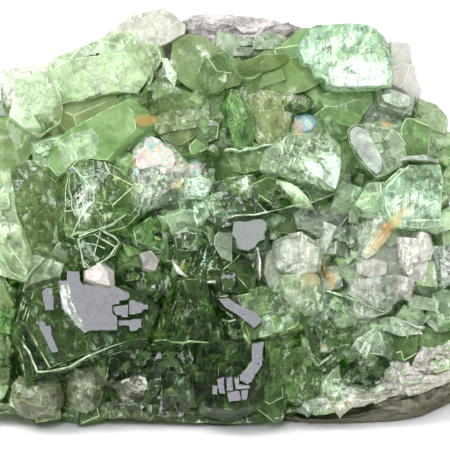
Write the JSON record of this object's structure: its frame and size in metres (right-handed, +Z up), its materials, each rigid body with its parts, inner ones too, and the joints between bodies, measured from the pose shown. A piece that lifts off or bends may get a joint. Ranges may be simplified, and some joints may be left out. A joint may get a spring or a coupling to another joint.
{
  "type": "green fluorite specimen",
  "caption": "Free-standing hand specimen of green fluorite: intergrown see-through cubes and cleaved blocks on a granular rock crust, flat underneath.",
  "frame": {"origin": "on the ground under the middle of the specimen's box", "axes": "+Z up, +X along the specimen's width to the right as its crystal face is seen, -Y towards the viewer of that face"},
  "size_m": [0.1528, 0.0938, 0.1144],
  "materials": {
    "fluorite": "see-through green crystal with cloudy veils, flat cleavage faces and bright worn edges",
    "rock": "rough granular grey-pink rock, creamy at the right foot"
  },
  "bodies": {
    "root": {"crystal_mass": "fluorite", "matrix_crust": "rock"}
  },
  "joints": []
}
